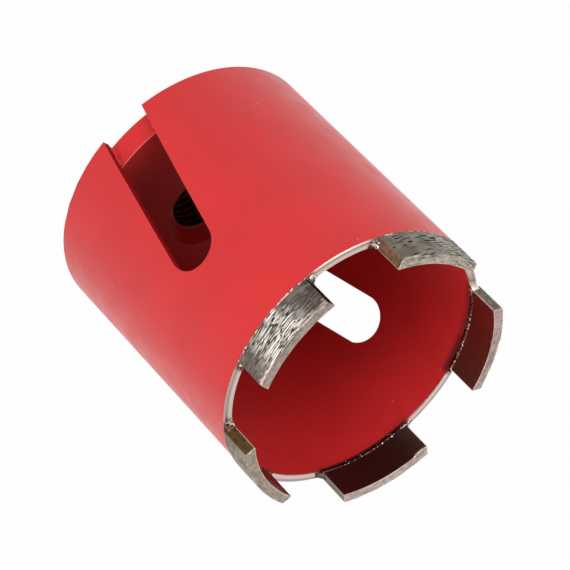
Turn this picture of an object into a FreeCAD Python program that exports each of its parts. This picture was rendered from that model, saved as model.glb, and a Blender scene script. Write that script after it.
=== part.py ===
import FreeCAD, Part
import math
import os

# Dry diamond core bit for 68 mm socket holes, in millimetres.
# The axis of the bit is Z. The hub's rear face, which seats on the drill's adaptor,
# lies on z = 0 with its centre at the origin, and the cutting end points to +Z.
# The two dust slots face -Y and +Y.

# Barrel: a steel tube, open at the cutting end
barrel_diameter = 67.2
barrel_wall = 2.0
barrel_length = 66.4
rim_chamfer = 0.3
rear_edge_chamfer = 0.2

# Dust slots: through the barrel's wall, open at its rear edge, leaning to one side
slot_count = 2
slot_width = 11.25
slot_reach = 43.5
slot_lean_deg = 11.7

# Base: one turned piece, a plate inside the barrel with a threaded hub behind it
plate_thickness = 6.2
plate_recess = 1.05
plate_slip = 0.05
plate_front_chamfer = 0.35
plate_rear_chamfer = 0.3
hub_projection = 10.0
hub_wall = 5.0
hub_flat_depth = 1.0
hub_flat_length = 7.0
hub_fillet = 1.5
hub_edge_chamfer = 0.5

# M16 x 2 thread: the hole is made at the thread's minor diameter
thread_minor_diameter = 13.84
thread_height = 1.08
thread_lead_in = 0.25
sink_diameter = 20.0

# Weld between base and barrel: a seam at the rear, run out along the slots' sides
weld_toe = 1.0
weld_hollow = 0.12
corner_bead_width = 1.4
corner_bead_rise = 0.8
corner_bead_hollow = 0.2
corner_bead_root = 1.0

# Diamond segments: curved blocks with parallel ends, soldered to the rim
segment_count = 5
segment_length = 22.8
segment_height = 8.65
segment_edge_bevel = 0.15
segment_turn_deg = -2.27
clearance_outside = 0.4
clearance_inside = 0.1

# Silver solder: a film under each segment, a bead along both sides, a fillet at each end
solder_film = 0.25
bead_drop = 0.8
bead_rise = 0.7
bead_bulge = 0.3
bead_hollow = 0.08
end_fillet_rise = 1.2
end_fillet_length = 2.0
end_fillet_hollow = 0.35

# How far a cutting body reaches past the surface that it cuts
overrun = 5.0

# Sizes that follow from the ones above
barrel_radius = barrel_diameter / 2
bore_radius = barrel_radius - barrel_wall
barrel_rear = hub_projection
rim_height = barrel_rear + barrel_length
plate_radius = bore_radius - plate_slip
plate_rear = barrel_rear + plate_recess
plate_front = plate_rear + plate_thickness
thread_radius = thread_minor_diameter / 2
hub_radius = thread_radius + thread_height + hub_wall
slot_half_width = slot_width / 2
slot_end_centre = barrel_rear + slot_reach - slot_half_width
slot_lean = math.radians(slot_lean_deg)
segment_half_length = segment_length / 2
segment_outer_radius = barrel_radius + clearance_outside
segment_inner_radius = bore_radius - clearance_inside
segment_foot = rim_height + solder_film
segment_tip = segment_foot + segment_height

CENTRE = FreeCAD.Vector(0, 0, 0)
AXIS_Y = FreeCAD.Vector(0, 1, 0)
AXIS_Z = FreeCAD.Vector(0, 0, 1)
BOTH_SIDES = (-1, 1)


def point(x, y, z=0.0):
    return FreeCAD.Vector(x, y, z)


def on_profile(radius, height):
    """Point of a turned profile, which is drawn in the half plane of +X and Z."""
    return FreeCAD.Vector(radius, 0, height)


def line(a, b):
    return Part.LineSegment(a, b).toShape()


def lines(points):
    return [line(a, b) for a, b in zip(points, points[1:])]


def arc(a, b, towards, depth):
    """Arc from a to b whose middle stands off their chord by depth, towards a point."""
    middle = (a + b) * 0.5
    chord = (b - a).normalize()
    pull = towards - middle
    pull = (pull - chord * pull.dot(chord)).normalize()
    return Part.Arc(a, middle + pull * depth, b).toShape()


def face_from(edges):
    return Part.Face(Part.Wire(edges))


def turned(edges):
    """Solid of revolution about the bit's axis."""
    return face_from(edges).revolve(CENTRE, AXIS_Z, 360)


def swung(shape, angle_deg):
    """Copy of a shape, swung round the bit's axis."""
    copy = shape.copy()
    copy.rotate(CENTRE, AXIS_Z, angle_deg)
    return copy


def ring_angles(count):
    return [index * 360.0 / count for index in range(count)]


def make_barrel_blank():
    """The tube before its slots are cut."""
    corners = [
        on_profile(bore_radius, barrel_rear),
        on_profile(barrel_radius - rear_edge_chamfer, barrel_rear),
        on_profile(barrel_radius, barrel_rear + rear_edge_chamfer),
        on_profile(barrel_radius, rim_height - rim_chamfer),
        on_profile(barrel_radius - rim_chamfer, rim_height),
        on_profile(bore_radius, rim_height),
    ]
    return turned(lines(corners + corners[:1]))


def slot_cutter():
    """Block that cuts the slot at -Y: straight sides and a round front end, then leaned over."""
    half = slot_half_width
    start = -(barrel_radius + overrun)
    foot = -(slot_reach + overrun)
    left_foot = point(-half, start, foot)
    left_shoulder = point(-half, start, 0)
    tip = point(0, start, half)
    right_shoulder = point(half, start, 0)
    right_foot = point(half, start, foot)
    outline = lines([right_shoulder, right_foot, left_foot, left_shoulder])
    outline.append(Part.Arc(left_shoulder, tip, right_shoulder).toShape())
    cutter = face_from(outline).extrude(AXIS_Y * (barrel_radius + overrun))
    cutter.rotate(CENTRE, AXIS_Y, slot_lean_deg)
    cutter.translate(AXIS_Z * slot_end_centre)
    return cutter


def make_slot_cutters():
    return [swung(slot_cutter(), angle) for angle in ring_angles(slot_count)]


def make_barrel():
    return make_barrel_blank().cut(make_slot_cutters())


def spanner_flat(side):
    """Block that cuts one spanner flat off the hub."""
    depth = hub_flat_depth + overrun
    block = Part.makeBox(depth, 2 * hub_radius, hub_flat_length + overrun)
    inner_face = hub_radius - hub_flat_depth
    block.translate(point(inner_face if side > 0 else -inner_face - depth, -hub_radius, -overrun))
    return block


def make_base():
    """Plate and hub, turned in one piece, with the thread's hole and its countersink."""
    sink_depth = sink_diameter / 2 - thread_radius
    lead_in = thread_height + thread_lead_in
    fillet_start = on_profile(hub_radius, plate_rear - hub_fillet)
    fillet_end = on_profile(hub_radius + hub_fillet, plate_rear)
    inner_corner = on_profile(hub_radius, plate_rear)
    fillet_hollow = hub_fillet * (1 - math.sqrt(0.5))
    front_corner = on_profile(plate_radius, plate_front - plate_front_chamfer)
    edges = lines([
        front_corner,
        on_profile(plate_radius - plate_front_chamfer, plate_front),
        on_profile(sink_diameter / 2, plate_front),
        on_profile(thread_radius, plate_front - sink_depth),
        on_profile(thread_radius, lead_in),
        on_profile(thread_radius + lead_in, 0),
        on_profile(hub_radius - hub_edge_chamfer, 0),
        on_profile(hub_radius, hub_edge_chamfer),
        fillet_start,
    ])
    edges.append(arc(fillet_start, fillet_end, inner_corner, fillet_hollow))
    edges += lines([
        fillet_end,
        on_profile(plate_radius - plate_rear_chamfer, plate_rear),
        on_profile(plate_radius, plate_rear + plate_rear_chamfer),
        front_corner,
    ])
    return turned(edges).cut([spanner_flat(side) for side in BOTH_SIDES])


def rear_weld():
    """Ring seam in the step between the plate's rear face and the barrel's rear edge."""
    plate_toe = on_profile(bore_radius - weld_toe, plate_rear)
    wall_toe = on_profile(bore_radius, barrel_rear + rear_edge_chamfer)
    corner = on_profile(bore_radius, plate_rear)
    behind_chamfer = plate_rear + plate_rear_chamfer
    edges = lines([
        wall_toe,
        on_profile(bore_radius, behind_chamfer),
        on_profile(plate_radius - plate_rear_chamfer, behind_chamfer),
        plate_toe,
    ])
    edges.append(arc(plate_toe, wall_toe, corner, weld_hollow))
    return turned(edges)


def slot_wall_x(side, height):
    """Where one side of the slot at -Y lies at a height on the bit."""
    centre_x = (height - slot_end_centre) * math.tan(slot_lean)
    return centre_x + side * slot_half_width / math.cos(slot_lean)


def plate_edge_point(x, height):
    return point(x, -math.sqrt(plate_radius ** 2 - x ** 2), height)


def corner_section(side, height):
    """Outline of the seam in the corner between a slot's side and the plate's edge."""
    wall_x = slot_wall_x(side, height)
    corner = plate_edge_point(wall_x, height)
    toe = plate_edge_point(wall_x - side * corner_bead_width, height)
    top = corner - AXIS_Y * corner_bead_rise
    into_wall = point(side * corner_bead_root, 0)
    into_plate = AXIS_Y * corner_bead_root
    outline = lines([top, top + into_wall, corner + into_wall + into_plate, toe + into_plate, toe])
    outline.append(arc(toe, top, corner, corner_bead_hollow))
    return Part.Wire(outline)


def corner_weld(side):
    """Seam along one side of the slot at -Y, over the height of the plate's edge."""
    low = corner_section(side, plate_rear + plate_rear_chamfer)
    high = corner_section(side, plate_front - plate_front_chamfer)
    return Part.makeLoft([low, high], True, True)


def make_base_welds(barrel, base):
    """The seams between the slots, from the one at +X on, each with its two corner runs."""
    ring = rear_weld().cut(make_slot_cutters())
    corners = []
    for angle in ring_angles(slot_count):
        corners += [swung(corner_weld(side), angle) for side in BOTH_SIDES]
    seams = ring.fuse(corners).cut([barrel, base]).Solids
    return sorted(seams, key=lambda seam: -seam.CenterOfMass.x)


def segment_block(inner_radius, outer_radius, bottom, top):
    """Ring sector with parallel ends, centred on the -Y side."""
    edges = []
    corners = []
    for radius in (inner_radius, outer_radius):
        depth = -math.sqrt(radius ** 2 - segment_half_length ** 2)
        left = point(-segment_half_length, depth, bottom)
        right = point(segment_half_length, depth, bottom)
        edges.append(Part.Arc(left, point(0, -radius, bottom), right).toShape())
        corners.append((left, right))
    (inner_left, inner_right), (outer_left, outer_right) = corners
    edges += [line(inner_left, outer_left), line(inner_right, outer_right)]
    outline = Part.Face(Part.Wire(Part.__sortEdges__(edges)))
    return outline.extrude(AXIS_Z * (top - bottom))


def make_segment():
    """Curved diamond segment with its cutting edges lightly broken."""
    block = segment_block(segment_inner_radius, segment_outer_radius, segment_foot, segment_tip)
    tip_edges = [edge for edge in block.Edges if edge.BoundBox.ZMin > segment_tip - segment_edge_bevel]
    return block.makeChamfer(segment_edge_bevel, tip_edges)


def solder_beads():
    """Turned section of the joint: film, outer bead under the overhang, inner bead."""
    outer_toe = on_profile(barrel_radius, rim_height - bead_drop)
    outer_top = on_profile(segment_outer_radius, segment_foot)
    outer_corner = on_profile(barrel_radius, segment_foot)
    inner_toe = on_profile(bore_radius, rim_height - bead_drop)
    inner_top = on_profile(segment_inner_radius, segment_foot + bead_rise)
    bulge_side = on_profile(bore_radius - segment_height, rim_height)
    return turned([
        line(inner_toe, outer_toe),
        arc(outer_toe, outer_top, outer_corner, bead_hollow),
        line(outer_top, inner_top),
        arc(inner_top, inner_toe, bulge_side, bead_bulge),
    ])


def end_fillet(side):
    """Solder drawn out from one end of a segment along the rim."""
    wall_x = side * segment_half_length
    start = -barrel_radius
    foot = point(wall_x, start, rim_height)
    top = point(wall_x, start, segment_foot + end_fillet_rise)
    toe = point(wall_x + side * end_fillet_length, start, rim_height)
    outline = lines([toe, foot, top])
    outline.append(arc(top, toe, foot, end_fillet_hollow))
    return face_from(outline).extrude(AXIS_Y * (barrel_radius - segment_inner_radius / 2))


def rim_space():
    """Ring above the rim's flat, which the end fillets stay inside."""
    top = segment_foot + end_fillet_rise + overrun
    corners = [
        on_profile(bore_radius, rim_height),
        on_profile(barrel_radius - rim_chamfer, rim_height),
        on_profile(barrel_radius - rim_chamfer, top),
        on_profile(bore_radius, top),
    ]
    return turned(lines(corners + corners[:1]))


def make_solder_joint(segment):
    """Solder under and round the foot of the segment at -Y."""
    half = segment_half_length
    span = Part.makeBox(2 * half, segment_outer_radius + overrun, segment_tip)
    span.translate(point(-half, -(segment_outer_radius + overrun), 0))
    beads = solder_beads().common(span)
    ends = [end_fillet(side).common(rim_space()) for side in BOTH_SIDES]
    return beads.fuse(ends).cut([make_barrel_blank(), segment])


def main():
    os.makedirs("parts", exist_ok=True)
    barrel = make_barrel()
    base = make_base()
    segment = make_segment()
    solder = make_solder_joint(segment)
    nodes = {"barrel": barrel, "threaded_base": base}
    for number, seam in enumerate(make_base_welds(barrel, base), start=1):
        nodes["base_weld_%d" % number] = seam
    for number, angle in enumerate(ring_angles(segment_count), start=1):
        nodes["segment_%d" % number] = swung(segment, segment_turn_deg + angle)
        nodes["solder_joint_%d" % number] = swung(solder, segment_turn_deg + angle)
    for name, shape in nodes.items():
        shape.exportStep("parts/" + name + ".step")
        print(name, "solids", len(shape.Solids), "volume", round(shape.Volume, 2))


main()
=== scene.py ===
"""Finishes and fine shapes of a dry diamond core bit, made round its fixed solids.

The bit stands on its hub with the mouth up. Lengths are in metres, and heights are above the hub's
rear face. The two dust slots face -Y and +Y, and the segments are counted from the one at -Y on.
"""

import math
import random

import bmesh
import bpy
import numpy as np
from bpy.props import FloatProperty, FloatVectorProperty, IntProperty, PointerProperty
from mathutils import Matrix, Vector, noise


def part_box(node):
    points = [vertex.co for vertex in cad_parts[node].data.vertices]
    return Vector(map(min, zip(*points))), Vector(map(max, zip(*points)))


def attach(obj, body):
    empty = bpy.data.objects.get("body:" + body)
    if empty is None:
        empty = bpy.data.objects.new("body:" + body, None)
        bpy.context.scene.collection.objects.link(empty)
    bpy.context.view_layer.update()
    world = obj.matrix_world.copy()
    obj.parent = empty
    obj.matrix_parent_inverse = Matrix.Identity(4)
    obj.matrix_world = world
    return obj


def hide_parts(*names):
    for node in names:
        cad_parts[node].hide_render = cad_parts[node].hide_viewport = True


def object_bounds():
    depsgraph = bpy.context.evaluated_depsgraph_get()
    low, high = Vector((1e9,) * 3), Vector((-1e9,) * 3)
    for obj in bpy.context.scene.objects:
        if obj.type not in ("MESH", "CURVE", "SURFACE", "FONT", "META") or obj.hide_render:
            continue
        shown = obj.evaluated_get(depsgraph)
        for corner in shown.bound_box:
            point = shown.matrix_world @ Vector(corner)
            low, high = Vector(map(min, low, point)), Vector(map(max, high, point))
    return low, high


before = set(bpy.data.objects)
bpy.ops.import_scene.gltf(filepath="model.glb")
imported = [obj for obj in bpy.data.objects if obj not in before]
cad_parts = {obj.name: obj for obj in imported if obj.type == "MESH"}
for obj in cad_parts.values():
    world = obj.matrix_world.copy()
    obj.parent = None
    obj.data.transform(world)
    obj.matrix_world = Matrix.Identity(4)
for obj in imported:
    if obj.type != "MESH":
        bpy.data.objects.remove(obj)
CAD_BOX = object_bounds()

bl_info = {
    "name": "Diamond Core Bit",
    "version": (1, 0, 0),
    "blender": (4, 5, 0),
    "location": "View3D > Sidebar > Core Bit",
    "description": "Builds the enamelled barrel, threaded base, segments and solder of a core bit",
    "category": "Object",
}

MM = 0.001
BODY = "root"
SEGMENTS = 5

# Sizes that the frame gives
BARREL_LOW, BARREL_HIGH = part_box("barrel")
BASE_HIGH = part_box("threaded_base")[1]
SEGMENT_LOW, SEGMENT_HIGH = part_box("segment_1")
BARREL_RADIUS = BARREL_HIGH.x
BARREL_REAR = BARREL_LOW.z
RIM_HEIGHT = BARREL_HIGH.z
PLATE_RADIUS = BASE_HIGH.x
PLATE_FRONT = BASE_HIGH.z
SEGMENT_OUTER = CAD_BOX[1].x
SEGMENT_FOOT = SEGMENT_LOW.z
SEGMENT_TIP = SEGMENT_HIGH.z


def linear(hex_colour, strength=1.0):
    """sRGB hex, such as D03020, as a linear colour with alpha, made darker or lighter by strength."""
    channels = [int(hex_colour[i:i + 2], 16) / 255 for i in (0, 2, 4)]
    values = [c / 12.92 if c <= 0.04045 else ((c + 0.055) / 1.055) ** 2.4 for c in channels]
    return [min(1.0, strength * value) for value in values] + [1.0]


def length_property(name, description, size):
    """Property that holds a length, whose default is given in millimetres."""
    return FloatProperty(name=name, description=description, default=size * MM, unit="LENGTH")


def angle_property(name, description, degrees):
    """Property that holds an angle, whose default is given in degrees."""
    return FloatProperty(name=name, description=description, default=math.radians(degrees), subtype="ANGLE")


def colour_property(name, description, hex_colour):
    """Property that holds a linear colour, whose default is given as sRGB hex."""
    return FloatVectorProperty(
        name=name, description=description, default=linear(hex_colour), subtype="COLOR", size=4)


class BarrelSizes(bpy.types.PropertyGroup):
    """Sizes of the barrel and its dust slots."""

    wall: length_property("Wall", "Thickness of the tube", 2.0)
    slot_width: length_property("Slot width", "Width of a dust slot", 11.25)
    slot_reach: length_property("Slot reach", "From the rear edge to the end of the slot's tip", 43.5)
    slot_lean: angle_property("Slot lean", "Lean of a slot from the axis", 11.7)
    rim_chamfer: length_property("Rim chamfer", "Chamfer round the mouth", 0.3)
    edge_round: length_property("Edge round", "Radius that the enamel gives to the edges", 0.18)


class BaseSizes(bpy.types.PropertyGroup):
    """Sizes of the plate, the hub and its thread."""

    plate: length_property("Plate", "Thickness of the plate", 6.2)
    hub_radius: length_property("Hub radius", "Radius of the hub", 13.0)
    flat_length: length_property("Flat length", "Length of the two spanner flats", 7.0)
    flat_depth: length_property("Flat depth", "Depth of each flat", 1.0)
    hub_fillet: length_property("Hub fillet", "Fillet between hub and plate", 1.5)
    minor_radius: length_property("Thread bore", "Radius inside the thread's crests", 6.92)
    thread_height: length_property("Thread height", "From crest to root", 1.08)
    pitch: length_property("Pitch", "Distance between turns", 2.0)
    sink_radius: length_property("Countersink", "Radius of the countersink's mouth", 10.0)


class SegmentSizes(bpy.types.PropertyGroup):
    """Sizes of a diamond segment and of its worn skin."""

    length: length_property("Length", "Between the parallel ends", 22.8)
    thickness: length_property("Thickness", "Radial thickness", 2.5)
    turn: angle_property("Turn", "Angle of the first segment past -Y", -2.27)
    edge_round: length_property("Edge round", "Radius of the worn edges", 0.16)
    grain: length_property("Mesh step", "Distance between points of the skin", 0.16)
    groove: length_property("Groove", "Depth of the cracks between flakes", 0.10)
    pit: length_property("Pit", "Depth of the pits round lost grit", 0.14)
    worn_edge: length_property("Worn edge", "Depth lost at the tip's outer edge", 0.2)
    worn_reach: length_property("Worn reach", "How far from the edge the wear reaches", 0.7)


class SolderSizes(bpy.types.PropertyGroup):
    """Sizes of the solder's lumps and of the weld's ripples."""

    voxel: length_property("Mesh step", "Voxel of the skin", 0.12)
    lump: length_property("Lump", "Height of the lumps", 0.08)
    drop: length_property("Drop", "Largest radius of a drop", 0.42)
    drops: IntProperty(name="Drops", description="Drops along the outside of a joint", default=26)
    ripple: length_property("Ripple", "Height of a weld ripple", 0.025)
    ripple_pitch: length_property("Ripple pitch", "Distance between weld ripples", 1.3)


class Colours(bpy.types.PropertyGroup):
    """Colours of the finishes, as sRGB turned to linear."""

    enamel: colour_property("Enamel", "Red sprayed enamel", "D51D1F")
    steel: colour_property("Steel", "Bare turned steel", "FAE4DC")
    glint: colour_property("Glint", "Bright metal of the torn flakes", "F7F0E6")
    # The groove colour is painted shade in the segments' cracks and pits
    groove: colour_property("Groove", "Dark cracks and pits", "241C17")
    solder: colour_property("Solder", "Silver solder", "EDE0D4")


class View(bpy.types.PropertyGroup):
    """Where the camera stands round the bit."""

    azimuth: angle_property("Azimuth", "Compass angle of the camera", -103.99)
    elevation: angle_property("Elevation", "Height angle of the camera", 36.98)
    roll: angle_property("Roll", "Turn of the picture", 135.74)
    distance: length_property("Distance", "From the aim", 719.8)
    aim: FloatVectorProperty(
        name="Aim", description="Point in the middle of the picture", subtype="TRANSLATION",
        default=(-0.4 * MM, 0.1 * MM, 49.4 * MM))
    lens: FloatProperty(name="Lens", description="Focal length in millimetres", default=204.2)
    shift: FloatVectorProperty(
        name="Shift", description="Shift of the picture as a share of its width", size=2,
        default=(-0.0012, 0.0044))


GROUPS = {
    "bit_barrel": BarrelSizes,
    "bit_base": BaseSizes,
    "bit_segment": SegmentSizes,
    "bit_solder": SolderSizes,
    "bit_colours": Colours,
    "bit_view": View,
}


def sizes(group):
    return getattr(bpy.context.scene, group)


def clamp(value):
    """Value kept between 0 and 1."""
    return min(1.0, max(0.0, value))


# Mesh helpers

def new_object(name, data):
    """Object that is linked to the scene."""
    made = bpy.data.objects.new(name, data)
    bpy.context.scene.collection.objects.link(made)
    return made


def new_piece(name, vertices, faces):
    """Object from points and faces, with outward normals."""
    mesh = bpy.data.meshes.new(name)
    mesh.from_pydata([tuple(v) for v in vertices], [], [tuple(int(i) for i in f) for f in faces])
    mesh.validate()
    form = bmesh.new()
    form.from_mesh(mesh)
    bmesh.ops.recalc_face_normals(form, faces=form.faces)
    form.to_mesh(mesh)
    form.free()
    return new_object(name, mesh)


def finish_piece(piece, nodes, materials):
    """Hands a piece to the frame in place of its solids, with its finish."""
    for material in materials:
        piece.data.materials.append(material)
    piece.data.shade_smooth()
    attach(piece, BODY)
    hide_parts(*nodes)


def settle(piece):
    """Turns the modifiers of a piece into its mesh."""
    bpy.context.view_layer.update()
    graph = bpy.context.evaluated_depsgraph_get()
    mesh = bpy.data.meshes.new_from_object(piece.evaluated_get(graph), depsgraph=graph)
    piece.modifiers.clear()
    piece.data = mesh
    return piece


def store(mesh, name, values):
    """Keeps one number for each point of a mesh, for its material."""
    layer = mesh.attributes.new(name, "FLOAT", "POINT")
    layer.data.foreach_set("value", np.asarray(values, np.float32))


# Barrel

# Steps of the tube's mesh along a slot's sides, round its tip and across the wall between the slots
SIDE_STEPS, ARC_STEPS, PANEL_STEPS = 22, 40, 36
# Half of the angle that is meshed round a slot, and how its rows lie between the slot and that border
FRAME_ANGLE = math.radians(35)
FRAME_ROWS = (0, 0.012, 0.035, 0.08, 0.16, 0.3, 0.5, 0.75, 1)
# Points that are nearer than this are one
TOUCHING = 0.001 * MM
# Edges sharper than this are rounded, in this many steps
ROUNDED_ANGLE, ROUND_STEPS = math.radians(35), 3


def slot_outline(form):
    """Outline of the slot at -Y as points (x, z): up one side, round the tip and down the other."""
    half = form.slot_width / 2
    centre = BARREL_REAR + form.slot_reach - half
    sine, cosine = math.sin(form.slot_lean), math.cos(form.slot_lean)

    def leaned(across, along):
        return across * cosine + along * sine, centre - across * sine + along * cosine

    def side(across):
        foot = (BARREL_REAR - centre + across * sine) / cosine
        return [leaned(across, foot * (1 - step / SIDE_STEPS)) for step in range(SIDE_STEPS)]

    turns = [math.pi * step / ARC_STEPS for step in range(ARC_STEPS + 1)]
    arc = [leaned(-half * math.cos(turn), half * math.sin(turn)) for turn in turns]
    return side(-half) + arc + side(half)[::-1]


def frame_outline(outline, top):
    """Border round the slot, point for point: up beside it, along the rim and down, as (angle, z)."""
    quarter = ARC_STEPS // 4
    left = [(-FRAME_ANGLE, z) for _, z in outline[:SIDE_STEPS + 1]]
    right = [(FRAME_ANGLE, z) for _, z in outline[-SIDE_STEPS - 1:]]

    def rise(angle, start, steps):
        return [(angle, start + (top - start) * step / steps) for step in range(1, steps + 1)]

    up = rise(-FRAME_ANGLE, left[-1][1], quarter)
    across = [(FRAME_ANGLE * (step / quarter - 1), top) for step in range(1, 2 * quarter)]
    down = rise(FRAME_ANGLE, right[0][1], quarter)[::-1]
    return left + up + across + down + right


def barrel_skin(form, radius, top):
    """One skin of the slotted tube as points, patch by patch, with the faces between them."""
    outline = slot_outline(form)
    border = frame_outline(outline, top)
    edge_steps = SIDE_STEPS + ARC_STEPS // 4 + 1
    near = [z for _, z in border[-edge_steps:]][::-1]
    far = [z for _, z in border[:edge_steps]]
    patches = []
    for turn in (0, math.pi):
        patch = []
        for share in FRAME_ROWS:
            patch.append([
                (turn + (1 - share) * math.asin(x / radius) + share * angle, (1 - share) * z + share * end)
                for (x, z), (angle, end) in zip(outline, border)])
        panel = []
        for column in range(PANEL_STEPS + 1):
            share = column / PANEL_STEPS
            angle = turn + FRAME_ANGLE + (math.pi - 2 * FRAME_ANGLE) * share
            panel.append([(angle, (1 - share) * a + share * b) for a, b in zip(near, far)])
        patches += [patch, panel]
    points, faces = [], []
    for patch in patches:
        width = len(patch[0])
        for index in range(len(patch) - 1):
            start = len(points) + index * width
            for corner in range(start, start + width - 1):
                faces.append((corner, corner + 1, corner + width + 1, corner + width))
        for row in patch:
            points += [(radius * math.sin(a), -radius * math.cos(a), z) for a, z in row]
    return np.array(points), np.array(faces)


def open_edges(faces):
    """Edges that only one face has."""
    uses = {}
    for face in faces:
        for a, b in zip(face, np.roll(face, -1)):
            pair = (min(a, b), max(a, b))
            uses[pair] = uses.get(pair, 0) + 1
    return [pair for pair, count in uses.items() if count == 1]


def build_barrel():
    """Slotted tube with a chamfered rim, its sharp edges rounded as by the enamel."""
    form = sizes("bit_barrel")
    bore = BARREL_RADIUS - form.wall
    outer, faces = barrel_skin(form, BARREL_RADIUS, RIM_HEIGHT - form.rim_chamfer)
    inner, _ = barrel_skin(form, bore, RIM_HEIGHT)
    _, first, welded = np.unique(np.round(outer / TOUCHING), axis=0, return_index=True, return_inverse=True)
    faces = welded.reshape(-1)[faces]
    outer, inner = outer[first], inner[first]
    count = len(outer)
    ring = {}
    for index in np.nonzero(outer[:, 2] > RIM_HEIGHT - form.rim_chamfer - TOUCHING)[0]:
        ring[index] = 2 * count + len(ring)
    shrink = (BARREL_RADIUS - form.rim_chamfer) / BARREL_RADIUS
    mouth = np.array([[outer[i][0] * shrink, outer[i][1] * shrink, RIM_HEIGHT] for i in ring])
    walls = []
    for a, b in open_edges(faces):
        if a in ring and b in ring:
            walls += [(a, b, ring[b], ring[a]), (ring[a], ring[b], b + count, a + count)]
        else:
            walls.append((a, b, b + count, a + count))
    all_faces = list(faces) + list(faces[:, ::-1] + count) + walls
    piece = new_piece("barrel_enamelled", np.vstack([outer, inner, mouth]), all_faces)
    bevel = piece.modifiers.new("edge_round", "BEVEL")
    bevel.width = form.edge_round
    bevel.segments = ROUND_STEPS
    bevel.limit_method = "ANGLE"
    bevel.angle_limit = ROUNDED_ANGLE
    bevel.harden_normals = True
    enamel = material_of("sprayed_alkyd_enamel", sprayed_enamel)
    finish_piece(piece, ["barrel"], [enamel])


# Base

# Points round the turned piece, and the distance between its rows in the hole
BASE_COLUMNS = 160
THREAD_STEP = 0.1 * MM
# Shares of one pitch that the thread's flat crest and each of its flanks take
CREST, FLANK = 0.25, 0.3125
# Chamfer at the hub's foot, lead-in below the thread, and radius of the plate's edges
HUB_CHAMFER, THREAD_LEAD, PLATE_ROUND = 0.5 * MM, 0.25 * MM, 0.3 * MM
# Widths of the close rows that hold the hub's foot and the other edges sharp
FOOT_ROWS, EDGE_ROW = (0.15 * MM, 0.03 * MM), 0.1 * MM
# Edges of the base that turn more than this are shaded sharp
SHARP_ANGLE = math.radians(40)


def thread_radius(form, height, turn):
    """Radius of the threaded hole at a height and an angle: flat crests, sloped flanks, narrow roots."""
    phase = (height / form.pitch - turn / math.tau) % 1.0
    depth = min(1.0, max(0.0, (phase - CREST) / FLANK), (1 - phase) / FLANK)
    return form.minor_radius + form.thread_height * depth


def quarter_round(radius, steps):
    """Steps round a quarter circle as distances from its two sides."""
    turns = [math.pi / 2 * step / steps for step in range(steps + 1)]
    return [(radius * (1 - math.cos(turn)), radius * (1 - math.sin(turn))) for turn in turns]


def base_profile(form):
    """Rows of the turned piece from the countersink's mouth through the hole and round the outside, as
    (radius, height, kind): kind is sink, bore, seat, flat for the spanner flats, or skin."""
    rear = PLATE_FRONT - form.plate
    lead = form.thread_height + THREAD_LEAD
    sink = form.sink_radius - form.minor_radius
    hub, fillet, edge = form.hub_radius, form.hub_fillet, PLATE_ROUND
    rows = [(form.sink_radius + EDGE_ROW, PLATE_FRONT, "skin")]
    count = int(PLATE_FRONT / THREAD_STEP)
    for index in range(count + 1):
        height = PLATE_FRONT * (1 - index / count)
        cone = form.minor_radius + max(0.0, height - (PLATE_FRONT - sink), lead - height)
        rows.append((cone, height, "sink" if height > PLATE_FRONT - sink else "bore"))
    foot = hub - HUB_CHAMFER
    rows += [(foot - FOOT_ROWS[0], 0, "seat"), (foot, FOOT_ROWS[1], "flat"), (hub, HUB_CHAMFER, "flat")]
    rows += [(hub, form.flat_length * share, "flat") for share in (0.35, 0.65, 0.97, 1)]
    rows += [(hub, form.flat_length, "skin"), (hub, form.flat_length + EDGE_ROW, "skin")]
    rows += [(hub + across, rear - up, "skin") for across, up in quarter_round(fillet, 8)]
    behind = PLATE_RADIUS - hub - fillet
    rows += [(hub + fillet + behind * share, rear, "skin") for share in (0.1, 0.4, 0.7, 0.96)]
    rows += [(PLATE_RADIUS - edge, rear, "skin"), (PLATE_RADIUS, rear + edge, "skin")]
    straight = form.plate - 2 * edge
    rows += [(PLATE_RADIUS, rear + edge + straight * index / 6, "skin") for index in range(1, 6)]
    rows += [(PLATE_RADIUS - across, PLATE_FRONT - up, "skin") for across, up in quarter_round(edge, 4)]
    face = PLATE_RADIUS - edge - form.sink_radius
    for share in (0.97, 0.75, 0.5, 0.25, 0.05):
        rows.append((form.sink_radius + face * share, PLATE_FRONT, "skin"))
    return rows


def build_base():
    """Plate and hub with a cut thread that runs out in the countersink."""
    form = sizes("bit_base")
    rows = base_profile(form)
    flat = form.hub_radius - form.flat_depth
    points, faces, kinds = [], [], []
    for radius, height, kind in rows:
        for column in range(BASE_COLUMNS):
            turn = math.tau * column / BASE_COLUMNS
            here = radius
            if kind in ("bore", "sink") and height > 0:
                here = max(radius, thread_radius(form, height, turn))
            elif kind == "flat" and abs(math.cos(turn)) > flat / radius:
                here = flat / abs(math.cos(turn))
            points.append((here * math.cos(turn), here * math.sin(turn), height))
    for row in range(len(rows)):
        below = (row + 1) % len(rows)
        start, under = row * BASE_COLUMNS, below * BASE_COLUMNS
        dark = {rows[row][2], rows[below][2]} & {"bore", "seat"}
        for column in range(BASE_COLUMNS):
            after = (column + 1) % BASE_COLUMNS
            faces.append((start + column, start + after, under + after, under + column))
            kinds.append(1 if dark else 0)
    piece = new_piece("base_turned", points, faces)
    for face, kind in zip(piece.data.polygons, kinds):
        face.material_index = kind
    piece.modifiers.new("flat_faces", "WEIGHTED_NORMAL").keep_sharp = True
    enamel = material_of("sprayed_alkyd_enamel", sprayed_enamel)
    # The hole's oiled steel, painted near-black as shade
    hole_finish = material_of("oiled_steel_painted_shade", shaded_hole_steel)
    finish_piece(piece, ["threaded_base"], [enamel, hole_finish])
    piece.data.set_sharp_from_angle(angle=SHARP_ANGLE)


# Welds and solder

# The base's welds are smoother than the solder, so their mesh is this much coarser
WELD_COARSER = 1.6
# Length over which a weld's ripples wander, and widths of the solder's large and small lumps
RIPPLE_WANDER, LARGE_LUMP, SMALL_LUMP = 3 * MM, 0.9 * MM, 0.35 * MM
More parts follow.
